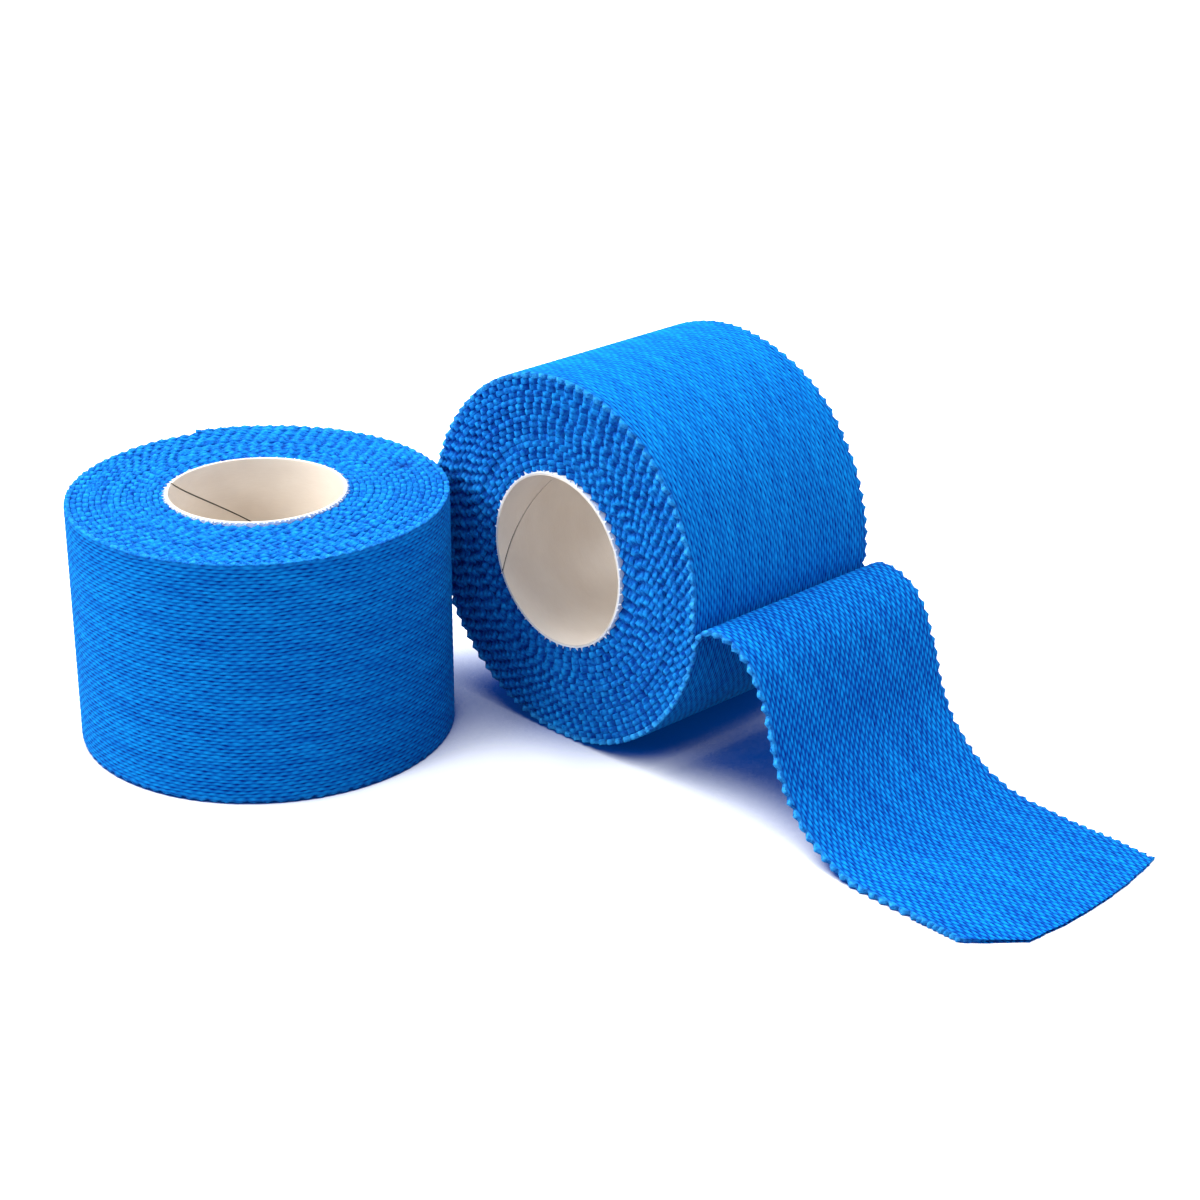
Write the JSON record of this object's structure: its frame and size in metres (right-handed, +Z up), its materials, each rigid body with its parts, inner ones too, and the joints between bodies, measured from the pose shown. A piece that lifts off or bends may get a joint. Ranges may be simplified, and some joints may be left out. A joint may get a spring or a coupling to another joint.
{
  "type": "hand wrap tape",
  "caption": "Elastic hand-wrap tape wound on paper cores: a roll standing on end beside a roll lying down with its pinked free end drawn out over the table, for taping hands.",
  "frame": {"origin": "on the standing roll's axis, at the lower end of its core bore, on the table", "axes": "+Z up along the standing roll's bore; +Y along the lying roll's bore, away from its front face; +X the way its tape is drawn out"},
  "size_m": [0.2014, 0.1248, 0.0754],
  "materials": {
    "tape_blue": "woven elastic cotton, matt",
    "paper_inner": "smooth kraft-cream ply",
    "paper_middle": "raw board",
    "paper_outer": "white paper"
  },
  "bodies": {
    "lying_roll": {"lying_core_inner_ply": "paper_inner", "lying_core_middle_ply": "paper_middle", "lying_core_outer_ply": "paper_outer", "lying_tape_roll": "tape_blue", "lying_tape_hump": "tape_blue"},
    "tail_drop": {"lying_tape_drop": "tape_blue"},
    "tail_foot": {"lying_tape_foot": "tape_blue"},
    "standing_roll": {"standing_core_inner_ply": "paper_inner", "standing_core_middle_ply": "paper_middle", "standing_core_outer_ply": "paper_outer", "standing_tape_roll": "tape_blue"},
    "standing_end": {"standing_tape_end": "tape_blue"}
  },
  "joints": [
    {"name": "tail_lift", "type": "hinge", "parent": "lying_roll", "child": "tail_drop", "pos_m": [0.08833, 0.06243, 0.03637], "axis": [0, -1, 0], "range_deg": [0, 90]},
    {"name": "tail_foot_lift", "type": "hinge", "parent": "tail_drop", "child": "tail_foot", "pos_m": [0.11737, 0.06243, 0.00494], "axis": [0, -1, 0], "range_deg": [0, 60]},
    {"name": "standing_roll_lift", "type": "slide", "parent": "lying_roll", "child": "standing_roll", "axis": [0, 0, 1], "range_m": [0, 0.1]},
    {"name": "standing_end_peel", "type": "hinge", "parent": "standing_roll", "child": "standing_end", "pos_m": [-0.02297, 0.03048, 0.025], "axis": [0, 0, -1], "range_deg": [0, 100]}
  ]
}
